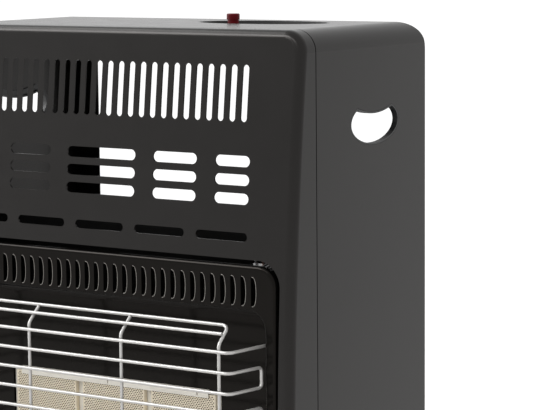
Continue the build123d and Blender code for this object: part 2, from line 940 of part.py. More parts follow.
def housing_bracket():
    """Folded bracket from the recess's right side to the cabinet's front flange."""
    inner = recess_half_width + housing_sheet + seat_gap
    outer = width / 2 - cover_sheet - seat_gap
    rear = (-seat_gap - bracket_sheet, -seat_gap)
    rows = (bracket_low, bracket_high)
    front = housing_front + housing_sheet + recess_seat_radius + seat_gap
    bracket = block((inner, inner + bracket_sheet), (front, rear[1]), rows)
    return bracket + block((inner, outer), rear, rows)


def right_housing_bracket():
    """Right bracket with its screw holes."""
    return housing_bracket() - screw_clearance(0, bracket_screw_points())


def venturi(index):
    """Mixing tube with a bell mouth above the injector."""
    top = box_low() + box_sheet
    neck = venturi_bottom + venturi_bell_height
    outline = Polyline(
        (venturi_radius - venturi_wall, top),
        (venturi_radius, top),
        (venturi_radius, neck),
        (venturi_bell_radius, venturi_bottom),
        (venturi_bell_radius - venturi_wall, venturi_bottom),
        (venturi_radius - venturi_wall, neck),
        (venturi_radius - venturi_wall, top),
    )
    ring = revolve(Plane.XZ * make_face(outline), Axis.Z)
    return Pos(index * plaque_pitch, venturi_centre_y, 0) * ring


def injector(index):
    """Brass injector held in the bar under a mixing tube."""
    bar_low = injector_bar_height
    bar_high = bar_low + injector_bar_thickness
    bottom = bar_low - injector_body_length
    head_top = bar_high + injector_head_height
    hexagon = extrude(RegularPolygon(injector_body_radius, 6), amount=injector_body_length)
    body = Pos(0, 0, bottom) * hexagon
    body += upright(0, 0, bar_low, bar_high, injector_thread_radius - running_gap)
    head = extrude(RegularPolygon(injector_head_radius, 6), amount=injector_head_height)
    body += Pos(0, 0, bar_high) * head
    tip = Cone(*injector_cone_radii, injector_tip - head_top)
    body += Pos(0, 0, (head_top + injector_tip) / 2) * tip
    socket_top = bar_low - injector_socket
    body -= upright(0, 0, bottom - overcut, socket_top, pipe_radius + running_gap)
    body -= upright(0, 0, socket_top - overcut, injector_tip + overcut, injector_jet_radius)
    return Pos(index * plaque_pitch, venturi_centre_y, 0) * body


def injector_bar():
    """Folded strip that carries the injectors, fixed to the heat shield."""
    half = plaque_pitch + injector_bar_overhang
    top = injector_bar_height + injector_bar_thickness
    reach = (venturi_centre_y - injector_bar_reach, shield_front)
    strip = block((-half, half), reach, (injector_bar_height, top))
    flange = (shield_front - injector_bar_thickness, shield_front)
    strip += block((-half, half), flange, (top, top + injector_bar_flange))
    for index in (-1, 0, 1):
        x = index * plaque_pitch
        hole = injector_thread_radius
        strip -= upright(x, venturi_centre_y, injector_bar_height - overcut, top + overcut, hole)
    return strip


# ---------------------------------------------------------------- gas line
def feed_pipe(index):
    """Pipe from the valve down to one injector: index -1 is the left one."""
    step = 1 - index
    out_y = dish_y - pipe_outlet_spacing * index
    down_x = pipe_down_x + pipe_spacing * step
    low = injector_bar_height - pipe_drop - pipe_spacing * step
    x = index * plaque_pitch
    points = [
        (knob_x, out_y, valve_low),
        (knob_x, out_y, pipe_turn_height),
        (down_x, out_y, pipe_turn_height),
        (down_x, venturi_centre_y, pipe_fall_height),
        (down_x, venturi_centre_y, low),
        (x, venturi_centre_y, low),
        (x, venturi_centre_y, injector_bar_height - injector_socket),
    ]
    return tube(points, [pipe_bend] * 5, pipe_radius)


def pilot_bracket():
    """Small plate on the recess floor that holds pilot, thermocouple and electrode."""
    low_x = lead_first_x - pilot_bracket_margin
    high_x = lead_first_x + 2 * lead_spacing + pilot_bracket_margin
    back = recess_back
    rows = (pilot_bracket_low, pilot_bracket_top)
    bracket = block((low_x, high_x), (back - pilot_sheet, back), rows)
    shelf = (pilot_bracket_top - pilot_sheet, pilot_bracket_top)
    bracket += block((low_x, high_x), (pilot_front - pilot_shelf_reach, back), shelf)
    for index in range(3):
        bracket -= pilot_part(index, pilot_bracket_low, electrode_top, pilot_hole_radius)
    return bracket


def pilot_part(index, low, high, radius):
    """Upright round piece held in the pilot bracket."""
    return upright(lead_first_x + index * lead_spacing, pilot_front, low, high, radius)


def pilot_burner():
    """Brass pilot burner with a side port towards the plaques."""
    top = pilot_bracket_top + pilot_collar_height
    body = pilot_part(0, lead_start_height, pilot_burner_top, pilot_burner_radius)
    body += pilot_part(0, pilot_bracket_top, top, pilot_collar_radius)
    span = (lead_first_x - pilot_port_reach, lead_first_x)
    return body + bar_x(*span, pilot_front, pilot_port_height, pilot_port_radius)


def thermocouple_probe():
    """Thermocouple tip."""
    top = pilot_bracket_top + pilot_collar_height
    probe = pilot_part(1, lead_start_height, thermocouple_top, probe_radius)
    return probe + pilot_part(1, pilot_bracket_top, top, pilot_collar_radius)


def spark_electrode():
    """Ceramic spark electrode with its wire tip bent towards the pilot."""
    x = lead_first_x + 2 * lead_spacing
    top = pilot_bracket_top + pilot_collar_height
    ceramic = pilot_part(2, lead_start_height, electrode_top, probe_radius)
    ceramic += pilot_part(2, pilot_bracket_top, top, pilot_collar_radius)
    wire = [
        (x, pilot_front, electrode_top - overcut),
        (x, pilot_front, electrode_top + electrode_wire_rise),
        (x - electrode_wire_reach, pilot_front, electrode_top + electrode_wire_rise),
    ]
    return ceramic + tube(wire, [electrode_wire_bend], electrode_wire_radius)


def lead(index, radius, end_points, bends):
    """Pipe or lead from a pilot piece, back through the recess floor and up."""
    x = lead_first_x + index * lead_spacing
    start = [
        (x, pilot_front, lead_start_height),
        (x, pilot_front, lead_turn_height),
        (x, lead_plane_y, lead_turn_height),
        (x, lead_plane_y, lead_pass_height),
    ]
    bends = [lead_first_bend, lead_second_bend, lead_wide_bend] + bends
    print("bend radii of a lead", radius, bends)
    return tube(start + end_points, bends, radius)


def valve_front_end(index, side_x, z):
    """Route from the recess up to the front face of the valve."""
    x = lead_first_x + index * lead_spacing
    front = dish_y - valve_depth / 2
    return [
        (x, front - lead_stand_off, lead_rise_height),
        (x, front - lead_stand_off, z),
        (side_x, front - lead_stand_off, z),
        (side_x, front, z),
    ]


def pilot_pipe():
    """Thin pipe from the valve's front to the pilot burner."""
    ends = valve_front_end(0, knob_x - lead_spacing, valve_port_height)
    return lead(0, pilot_pipe_radius, ends, [lead_rise_bend, lead_end_bend, lead_end_bend])


def thermocouple():
    """Thermocouple: its tip in the flame and its copper lead to the valve."""
    ends = valve_front_end(1, knob_x + lead_spacing, valve_port_height + 1.5 * lead_spacing)
    bends = [lead_rise_bend, lead_end_bend, lead_end_bend]
    return thermocouple_probe() + lead(1, thermocouple_lead_radius, ends, bends)


def ignition_lead():
    """Insulated lead from the electrode to the piezo unit, behind the valve."""
    x = lead_first_x + 2 * lead_spacing
    y = dish_y + valve_depth / 2 + lead_spacing
    z = piezo_body_low + ignition_lead_inset
    ends = [
        (x, y, lead_rise_height),
        (x, y, z),
        (piezo_x, y, z),
        (piezo_x, dish_y + piezo_body_radius, z),
    ]
    bends = [lead_wide_bend, lead_corner_bend, lead_end_bend]
    return lead(2, ignition_lead_radius, ends, bends)


# ---------------------------------------------------------------- controls
def control_dish():
    """Oval plastic dish that sinks the controls into the top panel."""
    rim_outer = dish_outline(-seat_gap)
    flange = dish_outline(dish_flange)
    inside = dish_outline(-seat_gap - dish_wall)
    floor_low = dish_floor_top - dish_wall
    dish = Pos(0, 0, floor_low) * extrude(rim_outer, amount=height - floor_low)
    dish += Pos(0, 0, top_underside - dish_wall) * extrude(flange, amount=dish_wall)
    dish -= Pos(0, 0, dish_floor_top) * extrude(inside, amount=height)
    low_edges = dish.edges().group_by(Axis.Z)[0]
    dish = fillet(low_edges, dish_wall * 0.8)
    dish -= upright(knob_x, dish_y, floor_low - overcut, height, valve_neck_radius + seat_gap)
    dish -= upright(piezo_x, dish_y, floor_low - overcut, height, piezo_body_radius + seat_gap)
    return dish


def gas_valve():
    """Press-and-turn gas valve hung from the dish by its neck."""
    low, high = valve_low, valve_high
    half_x, half_y = valve_width / 2, valve_depth / 2
    body = block(
        (knob_x - half_x, knob_x + half_x), (dish_y - half_y, dish_y + half_y), (low, high)
    )
    body = fillet(body.edges().filter_by(Axis.Z), valve_corner)
    floor_low = dish_floor_top - dish_wall
    body += upright(knob_x, dish_y, high, floor_low, valve_neck_radius + valve_shoulder)
    neck_top = dish_floor_top + valve_neck_rise
    body += upright(knob_x, dish_y, floor_low, neck_top, valve_neck_radius)
    body -= upright(knob_x, dish_y, driver_bore_low, height, driver_radius + running_gap)
    rear = dish_y + half_y
    port = (rear - hose_tail_thread, rear + overcut)
    return body - bar_y(knob_x, *port, valve_port_height, hose_tail_radius)


def valve_nut():
    """Hexagon nut that clamps the valve's neck in the dish."""
    nut = extrude(RegularPolygon(valve_nut_radius, 6), amount=valve_nut_height)
    nut -= extrude(Circle(valve_neck_radius + running_gap), amount=valve_nut_height)
    return Pos(knob_x, dish_y, dish_floor_top) * nut


def stem_section(gap):
    """Round stem with one flat."""
    section = Circle(stem_radius + gap)
    flat = stem_radius * stem_flat_share + gap
    return section - Pos(flat + stem_radius, 0) * Rectangle(2 * stem_radius, 4 * stem_radius)


def valve_driver():
    """Turning sleeve in the valve's neck, with a bore that lets the stem slide."""
    sleeve = extrude(Circle(driver_radius), amount=dish_floor_top + driver_rise - driver_low)
    sleeve -= extrude(stem_section(running_gap), amount=height)
    return Pos(knob_x, dish_y, driver_low) * sleeve


def valve_stem():
    """Stem that the knob is pushed on, pressed down and turned."""
    length = knob_top - knob_roof - stem_low
    return Pos(knob_x, dish_y, stem_low) * extrude(stem_section(0), amount=length)


def control_knob():
    """Fluted knob with a groove across its top, hollow underneath."""
    knob = upright(0, 0, knob_low, knob_top, knob_radius)
    knob = fillet(knob.edges().group_by(Axis.Z)[-1], knob_edge_radius)
    flute = upright(
        knob_radius + knob_flute_offset, 0, knob_low + knob_skirt, height, knob_flute_radius
    )
    for index in range(knob_flutes):
        knob -= Rot(0, 0, index * 360 / knob_flutes) * flute
    knob -= upright(0, 0, knob_low - overcut, knob_low + knob_hollow_height, knob_hollow_radius)
    knob -= Pos(0, 0, knob_top) * Box(knob_mark_width, knob_mark_length, 2 * knob_mark_depth)
    socket = extrude(stem_section(0), amount=knob_top - knob_roof - knob_low)
    knob -= Pos(0, 0, knob_low) * socket
    return Pos(knob_x, dish_y, 0) * knob


def piezo_body():
    """Threaded piezo igniter below the dish, with its guide for the button."""
    body = upright(piezo_x, dish_y, piezo_body_low, piezo_neck_top, piezo_body_radius)
    floor_low = dish_floor_top - dish_wall
    flange = (floor_low - piezo_flange, floor_low)
    body += upright(piezo_x, dish_y, *flange, piezo_body_radius + piezo_flange)
    bore = piezo_stem_radius + 2 * running_gap
    return body - upright(piezo_x, dish_y, piezo_bore_low, height, bore)


def piezo_nut():
    """Ring nut that clamps the piezo body in the dish."""
    nut = extrude(Circle(piezo_body_radius + piezo_nut_wall), amount=piezo_nut_height)
    nut = fillet(nut.edges().group_by(Axis.Z)[-1], piezo_nut_edge)
    nut -= extrude(Circle(piezo_body_radius + running_gap), amount=2 * piezo_nut_height)
    return Pos(piezo_x, dish_y, dish_floor_top) * nut


def piezo_button():
    """Red push button with a slightly wider cap."""
    cap = upright(piezo_x, dish_y, piezo_top - piezo_cap_height, piezo_top, piezo_cap_radius)
    cap = fillet(cap.edges().group_by(Axis.Z)[-1], piezo_cap_edge)
    low = piezo_neck_top - 2 * piezo_travel
    return cap + upright(piezo_x, dish_y, low, piezo_top - piezo_cap_height, piezo_stem_radius)


def hose_tail():
    """Brass tail behind the valve that the gas hose is pushed and clamped on."""
    rear = dish_y + valve_depth / 2
    collar = rear + hose_collar_length
    end = collar + hose_tail_length
    z = valve_port_height
    thread = hose_tail_radius - running_gap
    tail = bar_y(knob_x, rear - hose_tail_thread, rear, z, thread)
    tail += bar_y(knob_x, rear, collar, z, hose_collar_radius)
    tail += bar_y(knob_x, collar, end, z, hose_tail_radius)
    return tail - bar_y(knob_x, rear - hose_tail_thread - overcut, end + overcut, z, hose_tail_bore)


# ---------------------------------------------------------------- shield, tray, rear cover
def heat_shield():
    """Upright sheet between the burner and the bottle space."""
    half = width / 2 - cover_sheet - 2 * seat_gap - sheet
    rear = shield_front + sheet
    shield = block((-half, half), (shield_front, rear), (tray_floor, shield_top))
    for side in (-1, 1):
        span = sorted((side * half, side * (half - sheet)))
        shield += block(span, (shield_front, rear + front_flange), (tray_floor, shield_top))
    top = (shield_top - sheet, shield_top)
    shield += block((-half, half), (shield_front, rear + front_flange), top)
    notch = (shield_notch_low_x, shield_notch_high_x)
    return shield - block(notch, (0, rear + front_flange + overcut), (shield_notch_bottom, height))


def bottle_outline(inset):
    """Plan of the rear bulge, drawn in by inset."""
    half = rear_cover_half_width - inset
    rear = rear_depth - inset
    front = body_depth + 3 * sheet
    plan = Pos(0, (front + rear) / 2) * Rectangle(2 * half, rear - front)
    corners = plan.vertices().group_by(Axis.Y)[-1]
    return fillet(corners, rear_cover_radius - inset)


def base_tray():
    """Floor of the cabinet, carried out to the rear under the gas bottle."""
    front = face_y(base_height) + cover_sheet + seat_gap
    half = width / 2 - cover_sheet - seat_gap
    rear = body_depth - sheet - seat_gap
    plan = Pos(0, (front + rear) / 2) * Rectangle(2 * half, rear - front)
    plan = fillet(plan.vertices().group_by(Axis.Y)[0], cover_edge_radius)
    back_half = width / 2 - rear_flange - seat_gap
    neck = Pos(0, body_depth) * Rectangle(2 * min(back_half, rear_cover_half_width - 4 * sheet), 40)
    plan = plan + neck + bottle_outline(4 * sheet)
    tray = Pos(0, 0, base_height) * extrude(plan, amount=tray_lip)
    return tray - Pos(0, 0, tray_floor) * extrude(offset(plan, -sheet), amount=tray_lip)


def rear_cover():
    """Bulged rear cover with vents, a rim and four hooks."""
    front = body_depth + seat_gap
    plan = bottle_outline(0)
    bulge = Pos(0, 0, rear_cover_bottom) * extrude(plan, amount=rear_cover_top - rear_cover_bottom)
    upper = [e for e in bulge.edges().group_by(Axis.Z)[-1] if e.center().Y > body_depth + 6 * near]
    bulge = fillet(upper, rear_cover_top_radius)
    hollow = Pos(0, 0, rear_cover_bottom - overcut) * extrude(
        bottle_outline(sheet), amount=rear_cover_top - sheet - rear_cover_bottom + overcut
    )
    upper = [e for e in hollow.edges().group_by(Axis.Z)[-1] if e.center().Y > body_depth + 6 * near]
    hollow = fillet(upper, rear_cover_top_radius - sheet)
    reach = rear_cover_half_width - sheet
    depth = (front - overcut, body_depth + rear_passage)
    passage = block((-reach, reach), depth, (0, rear_cover_top - sheet))
    half = rear_cover_half_width + rear_rim
    rows = (rear_cover_bottom, rear_cover_top + rear_rim_rise)
    rim = block((-half, half), (front, body_depth + 3 * sheet), rows)
    rim = fillet(rim.edges().filter_by(Axis.Y).group_by(Axis.Z)[-1], rear_rim_corner)
    span = (-half - overcut, half + overcut)
    thin = block(span, (front + sheet, body_depth + 3 * sheet), (0, height))
    cover = (rim - thin) + block(
        (-reach - sheet, reach + sheet),
        (front, body_depth + 3 * sheet),
        (rear_cover_bottom, rear_cover_top),
    )
    cover = cover + bulge - hollow - passage
    for row in range(vent_rows):
        z = vent_first_row + row * vent_pitch
        vent = pill(vent_length, vent_height, 0, z)
        cover -= slab(vent, rear_depth - 4 * sheet, rear_depth + overcut)
    return cover + rear_hooks()


def rear_hooks():
    """Hooks through the slots of the rear flanges."""
    hooks = Part()
    x = width / 2 - rear_flange + rear_rim / 2
    span = (x - hook_width / 2, x + hook_width / 2)
    inner = body_depth - sheet - seat_gap
    for row in hook_rows:
        low = row + hook_drop + seat_gap
        neck = block(span, (inner - sheet, body_depth + seat_gap), (row + seat_gap, low))
        tongue = block(span, (inner - sheet, inner), (row - hook_drop, low))
        hooks += neck + tongue
    return both_sides(hooks)


# ---------------------------------------------------------------- castors
def castor_base():
    """Top plate of a castor with its riveted kingpin."""
    low = castor_top - castor_plate_thickness
    outline = RectangleRounded(castor_plate, castor_plate, castor_plate_corner)
    plate = Pos(0, 0, low) * extrude(outline, amount=castor_plate_thickness)
    plate += upright(0, 0, kingpin_head_top, low, kingpin_radius)
    plate += upright(0, 0, kingpin_head_low, kingpin_head_top, kingpin_head_radius)
    half = castor_hole_spacing / 2
    for x in (-half, half):
        for y in (-half, half):
            plate -= upright(x, y, low - overcut, castor_top + overcut, screw_radius + seat_gap)
    return plate


def castor_fork():
    """Fork that swivels on the kingpin and carries the axle behind it."""
    low = fork_low
    high = fork_low + fork_sheet
    top = castor_top - castor_plate_thickness - seat_gap
    inner = wheel_width / 2 + fork_leg_gap
    outer = inner + fork_leg_sheet
    rear = castor_trail + fork_leg_reach
    fork = upright(0, 0, low, high, fork_crown_radius)
    fork += block((-outer, outer), (0, rear), (low, high))
    fork += upright(0, 0, low, top, fork_boss_radius)
    for side in (-1, 1):
        span = sorted((side * inner, side * outer))
        fork += block(span, (fork_leg_front, rear), (wheel_radius, high))
        fork += bar_x(*span, castor_trail, wheel_radius, fork_leg_reach)
    fork -= upright(0, 0, low - overcut, castor_top, kingpin_radius + running_gap)
    return fork - bar_x(-long, long, castor_trail, wheel_radius, axle_radius)


def castor_wheel():
    """Nylon wheel with a crowned tread and a hub."""
    half = wheel_width / 2
    wheel = bar_x(-half, half, castor_trail, wheel_radius, wheel_radius)
    wheel = fillet(wheel.edges(), wheel_edge_radius)
    small, large = wheel_groove_radii
    for side in (-1, 1):
        span = sorted((side * (half - wheel_groove_depth), side * (half + overcut)))
        groove = bar_x(*span, castor_trail, wheel_radius, large)
        groove -= bar_x(*span, castor_trail, wheel_radius, small)
        wheel -= groove
    return wheel - bar_x(-long, long, castor_trail, wheel_radius, axle_radius + running_gap)


def castor_axle():
    """Riveted axle of a castor."""
    leg = wheel_width / 2 + fork_leg_gap + fork_leg_sheet
    axle = bar_x(-leg, leg, castor_trail, wheel_radius, axle_radius)
    for side in (-1, 1):
        span = sorted((side * leg, side * (leg + axle_head_height)))
        axle += bar_x(*span, castor_trail, wheel_radius, axle_head_radius)
    return axle


def castor_places():
    """Kingpin of each castor: name, X and Y."""
    return (
        ("front_left", -castor_front_x, castor_front_y),
        ("front_right", castor_front_x, castor_front_y),
        ("rear_left", -castor_rear_x, castor_rear_y),
        ("rear_right", castor_rear_x, castor_rear_y),
    )


def castor_screw_points():
    """Every castor screw, in X and Y."""
    half = castor_hole_spacing / 2
    return [
        (x + dx, y + dy)
        for _, x, y in castor_places()
        for dx in (-half, half)
        for dy in (-half, half)
    ]


def castor_screws():
    """Screws of all castors, from below through plate and tray."""
    low = castor_top - castor_plate_thickness
    screws = Part()
    for x, y in castor_screw_points():
        screws += upright(x, y, low - castor_screw_head, low, 2 * screw_radius)
        screws += upright(x, y, low, tray_floor + castor_screw_end, screw_radius)
    return screws


def drilled_tray():
    """Base tray with the holes for the castor screws."""
    tray = base_tray()
    for x, y in castor_screw_points():
        tray -= upright(x, y, base_height - overcut, tray_floor + overcut, screw_radius + seat_gap)
    return tray


# ---------------------------------------------------------------- all pieces
def all_pieces():
    """Every piece by its name."""
    pieces = {
        "cabinet_shell": cabinet_shell(),
        "front_cover": front_cover(),
        "rear_cover": rear_cover(),
        "base_tray": drilled_tray(),
        "heat_shield": heat_shield(),
        "handle_insert_right": handle_insert(),
        "handle_insert_left": mirror(handle_insert(), about=Plane.YZ),
        "reflector_housing": reflector_housing(),
        "housing_bracket_right": right_housing_bracket(),
        "housing_bracket_left": mirror(right_housing_bracket(), about=Plane.YZ),
        "wire_guard": wire_guard(),
        "burner_rail_upper": burner_rail(),
        "burner_rail_lower": lower_rail(),
        "burner_dividers": burner_dividers(),
        "bracket_screws": bracket_screws(),
        "injector_bar": injector_bar(),
        "pilot_bracket": pilot_bracket(),
        "pilot_burner": pilot_burner(),
        "pilot_pipe": pilot_pipe(),
        "thermocouple": thermocouple(),
        "spark_electrode": spark_electrode(),
        "ignition_lead": ignition_lead(),
        "control_dish": control_dish(),
        "gas_valve": gas_valve(),
        "valve_nut": valve_nut(),
        "valve_driver": valve_driver(),
        "valve_stem": valve_stem(),
        "control_knob": control_knob(),
        "hose_tail": hose_tail(),
        "piezo_body": piezo_body(),
        "piezo_nut": piezo_nut(),
        "piezo_button": piezo_button(),
        "castor_screws": castor_screws(),
    }
    for name, index in (("left", -1), ("centre", 0), ("right", 1)):
        pieces[f"plaque_{name}"] = plaque(index)
        pieces[f"burner_box_{name}"] = burner_box(index)
        pieces[f"feed_pipe_{name}"] = feed_pipe(index)
    pieces["venturi_tubes"] = Part() + [venturi(index) for index in (-1, 0, 1)]
    pieces["injectors"] = Part() + [injector(index) for index in (-1, 0, 1)]
    for name, x, y in castor_places():
        place = Pos(x, y, 0)
        pieces[f"castor_plate_{name}"] = place * castor_base()
        pieces[f"castor_fork_{name}"] = place * castor_fork()
        pieces[f"castor_wheel_{name}"] = place * castor_wheel()
        pieces[f"castor_axle_{name}"] = place * castor_axle()
    return pieces


os.makedirs("parts", exist_ok=True)
for node, piece in all_pieces().items():
    export_step(Pos(0, -origin_y, 0) * piece, f"parts/{node}.step")
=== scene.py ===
"""Looks, fine trim, studio and viewpoint of the portable gas cabinet heater."""
import json
import math

import bpy
import bmesh
from mathutils import Matrix, Vector

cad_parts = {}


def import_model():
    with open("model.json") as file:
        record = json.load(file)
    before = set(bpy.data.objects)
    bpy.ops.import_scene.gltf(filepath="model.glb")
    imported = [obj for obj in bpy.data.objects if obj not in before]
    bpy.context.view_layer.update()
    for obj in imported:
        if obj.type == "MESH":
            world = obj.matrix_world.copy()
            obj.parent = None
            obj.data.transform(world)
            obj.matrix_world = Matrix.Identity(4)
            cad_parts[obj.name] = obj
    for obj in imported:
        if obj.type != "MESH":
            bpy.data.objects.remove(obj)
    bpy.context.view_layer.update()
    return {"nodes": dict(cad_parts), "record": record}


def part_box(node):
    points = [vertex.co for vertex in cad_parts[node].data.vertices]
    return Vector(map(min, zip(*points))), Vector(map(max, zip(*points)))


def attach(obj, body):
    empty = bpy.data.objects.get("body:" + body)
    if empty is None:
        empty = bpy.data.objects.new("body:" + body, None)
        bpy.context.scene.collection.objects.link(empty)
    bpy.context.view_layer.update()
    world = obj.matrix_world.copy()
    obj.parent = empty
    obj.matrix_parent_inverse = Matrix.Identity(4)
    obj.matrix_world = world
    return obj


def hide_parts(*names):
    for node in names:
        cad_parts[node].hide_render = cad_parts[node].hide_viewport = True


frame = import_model()
scene = bpy.context.scene

# ---------------------------------------------------------------- sizes, mostly in metres
MM = 0.001
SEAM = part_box("cabinet_shell")[0][1]            # Y of the cover's seam
PAN_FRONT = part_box("reflector_housing")[0][1]   # Y of the pan's front

PORE_PITCH = 2.9 * MM           # wanted step along a row, fitted to the plaque
PORE_ROW = 1.8 * MM             # wanted step between rows, fitted too
PORE_HALF_LENGTH = 1.0 * MM
PORE_HALF_HEIGHT = 0.55 * MM
PORE_DEPTH = 1.8 * MM
PORE_MARGIN = 1.0 * MM          # plain rim of a plaque
# Points round a pore's cell, in half cells from its middle.
PORE_RING = [(-1, -1), (0, -1), (1, -1), (1, 0), (1, 1), (0, 1), (-1, 1), (-1, 0)]
FLATNESS = 0.01 * MM            # how far behind a plaque's front its points may lie

LOUVRE_COUNT = 32               # these follow the pan's own louvres
LOUVRE_PITCH = 11.5 * MM
LOUVRE_HALF = 14.0 * MM         # half a louvre's height
LOUVRE_DEPTH = 5.8 * MM         # how far its edge bows to the side
LOUVRE_BLUNTNESS = 0.5          # 1 is a sine, less is a fuller bow
LOUVRE_MIDDLE = 492.0 * MM      # height of the row's middle
RIM_RADIUS = 0.42 * MM
RIM_BEHIND = 0.25 * MM          # from the pan's front to the rim's middle
RIM_STEPS = 24
RIM_INSET = 0.01                # share of the bow left off at either end
RIM_SIDES = 8

FLOOR_HALF = 30.0
FLOOR_GLOW = 0.42               # lifts the lit floor to white for the camera

PHOTO_WIDTH = 537.0             # in pixels
FOCAL_LENGTH = 2070.2196        # in pixels of the photograph
SENSOR_WIDTH = 36.0             # in millimetres, the unit of Blender's lenses
VIEWPOINT = Vector((1.22628, -1.63277 + SEAM, 0.81897))
YAW, PITCH, ROLL = 0.57379, 0.12814, -0.00922       # in radians
VIEW_END = 200.0


# ---------------------------------------------------------------- node helpers
class Nodes:
    """Adds and links the nodes of one node tree."""

    def __init__(self, tree):
        self.tree = tree

    def add(self, kind, **settings):
        node = self.tree.nodes.new(kind)
        for key, item in settings.items():
            setattr(node, key, item)
        return node

    def link(self, source, target):
        self.tree.links.new(source, target)

    def fill(self, socket, item):
        """Links a socket, or sets it to a number or a colour."""
        if isinstance(item, tuple):
            socket.default_value = (*item, 1.0)
        elif isinstance(item, (int, float)):
            socket.default_value = item
        else:
            self.link(item, socket)

    def value(self, operation, first, second, clamp=False):
        node = self.add("ShaderNodeMath", operation=operation, use_clamp=clamp)
        self.fill(node.inputs[0], first)
        self.fill(node.inputs[1], second)
        return node.outputs["Value"]

    def span(self, source, low, high, from_low=0.0, from_high=1.0, kind="LINEAR"):
        """Carries a range of values over to another."""
        node = self.add("ShaderNodeMapRange", interpolation_type=kind)
        node.inputs["From Min"].default_value = from_low
        node.inputs["From Max"].default_value = from_high
        node.inputs["To Min"].default_value = low
        node.inputs["To Max"].default_value = high
        self.link(source, node.inputs["Value"])
        return node.outputs["Result"]

    def backdrop_rays(self):
        """1 for the rays that see or mirror the backdrop, 0 for those that light things."""
        rays = self.add("ShaderNodeLightPath").outputs
        seen = self.value("ADD", rays["Is Camera Ray"], rays["Is Glossy Ray"])
        return self.value("ADD", seen, rays["Is Transmission Ray"], clamp=True)


class Finish(Nodes):
    """Nodes of one new material, with patterns in object coordinates."""

    COLOUR_A, COLOUR_B, COLOUR_RESULT = 6, 7, 2     # sockets of a Mix node for colours

    def __init__(self, name):
        self.material = bpy.data.materials.new(name)
        self.material.use_nodes = True
        super().__init__(self.material.node_tree)
        self.shader = self.tree.nodes["Principled BSDF"]
        self.coords = self.add("ShaderNodeTexCoord").outputs["Object"]

    def noise(self, scale, detail=3.0, rough=0.5):
        """Cloudy pattern from 0 to 1, with about scale clouds to a metre."""
        node = self.add("ShaderNodeTexNoise")
        node.inputs["Scale"].default_value = scale
        node.inputs["Detail"].default_value = detail
        node.inputs["Roughness"].default_value = rough
        self.link(self.coords, node.inputs["Vector"])
        return node.outputs["Fac"]

    def cells(self, scale):
        """Random red, green and blue for each cell of a crystal pattern."""
        node = self.add("ShaderNodeTexVoronoi")
        node.inputs["Scale"].default_value = scale
        self.link(self.coords, node.inputs["Vector"])
        parts = self.add("ShaderNodeSeparateColor")
        self.link(node.outputs["Color"], parts.inputs["Color"])
        return parts.outputs

    def mix(self, factor, first, second):
        node = self.add("ShaderNodeMix", data_type="RGBA")
        self.link(factor, node.inputs["Factor"])
        self.fill(node.inputs[self.COLOUR_A], first)
        self.fill(node.inputs[self.COLOUR_B], second)
        return node.outputs[self.COLOUR_RESULT]

    def bump(self, height, strength, distance, before=None):
        """Bumps up to a distance in metres, on top of those before."""
        node = self.add("ShaderNodeBump")
        node.inputs["Strength"].default_value = strength
        node.inputs["Distance"].default_value = distance
        self.link(height, node.inputs["Height"])
        if before is not None:
            self.link(before, node.inputs["Normal"])
        return node.outputs["Normal"]

    def set(self, **sockets):
        """Fills sockets of the material's shader, named with _ for a space."""
        for key, item in sockets.items():
            self.fill(self.shader.inputs[key.replace("_", " ")], item)
        return self.material


def shade(color, factor):
    """The same colour, lighter or darker."""
    return tuple(min(1.0, part * factor) for part in color)


# ---------------------------------------------------------------- materials
def powder_coat(name, color, rough, gloss):
    """Satin powder coat with a fine orange peel."""
    n = Finish(name)
    cloud = n.noise(6.0, detail=2.0)
    peel = n.noise(900.0, detail=2.0, rough=0.6)
    return n.set(
        Base_Color=n.mix(cloud, shade(color, 0.9), shade(color, 1.1)),
        Roughness=n.span(n.noise(45.0, detail=4.0), rough - 0.04, rough + 0.04),
        Specular_IOR_Level=gloss,
        Specular_Tint=(1.0, 0.96, 0.93),
        Normal=n.bump(peel, strength=0.3, distance=0.12 * MM),
    )


def enamel(name, color, rough, gloss):
    """Gloss enamel on pressed sheet, very slightly wavy."""
    n = Finish(name)
    wave = n.bump(n.noise(14.0, detail=2.0), strength=0.12, distance=0.6 * MM)
    peel = n.noise(500.0, detail=2.0)
    return n.set(
        Base_Color=n.mix(n.noise(9.0, detail=2.0), shade(color, 0.85), shade(color, 1.15)),
        Roughness=n.span(n.noise(30.0, detail=4.0), rough - 0.03, rough + 0.05),
        Specular_IOR_Level=gloss,
        Specular_Tint=(1.0, 0.9, 0.82),
        Normal=n.bump(peel, strength=0.1, distance=0.05 * MM, before=wave),
    )


def bright_metal(name, color, rough, scale=160.0, metallic=1.0):
    """Plated or drawn metal with faint streaks."""
    n = Finish(name)
    streak = n.noise(scale, detail=4.0, rough=0.6)
    return n.set(
        Base_Color=n.mix(streak, shade(color, 0.93), shade(color, 1.04)),
        Roughness=n.span(n.noise(scale * 0.4), rough - 0.05, rough + 0.07),
        Metallic=metallic,
        Normal=n.bump(streak, strength=0.3, distance=0.05 * MM),
    )


def spangled_zinc(name, color, rough):
    """Hot-dip zinc with its crystal spangle."""
    n = Finish(name)
    spangle = n.cells(95.0)
    return n.set(
        Base_Color=n.mix(spangle["Red"], shade(color, 0.82), shade(color, 1.12)),
        Roughness=n.span(spangle["Green"], rough - 0.08, rough + 0.1),
        Metallic=1.0,
        Normal=n.bump(n.noise(420.0), strength=0.2, distance=0.06 * MM),
    )


def moulded(name, color, rough, grain=1400.0, gloss=0.5):
    """Moulded plastic with a fine spark-eroded grain."""
    n = Finish(name)
    return n.set(
        Base_Color=n.mix(n.noise(25.0), shade(color, 0.88), shade(color, 1.12)),
        Roughness=n.span(n.noise(120.0), rough - 0.05, rough + 0.06),
        Specular_IOR_Level=gloss,
        Normal=n.bump(n.noise(grain, detail=2.0), strength=0.4, distance=0.06 * MM),
    )


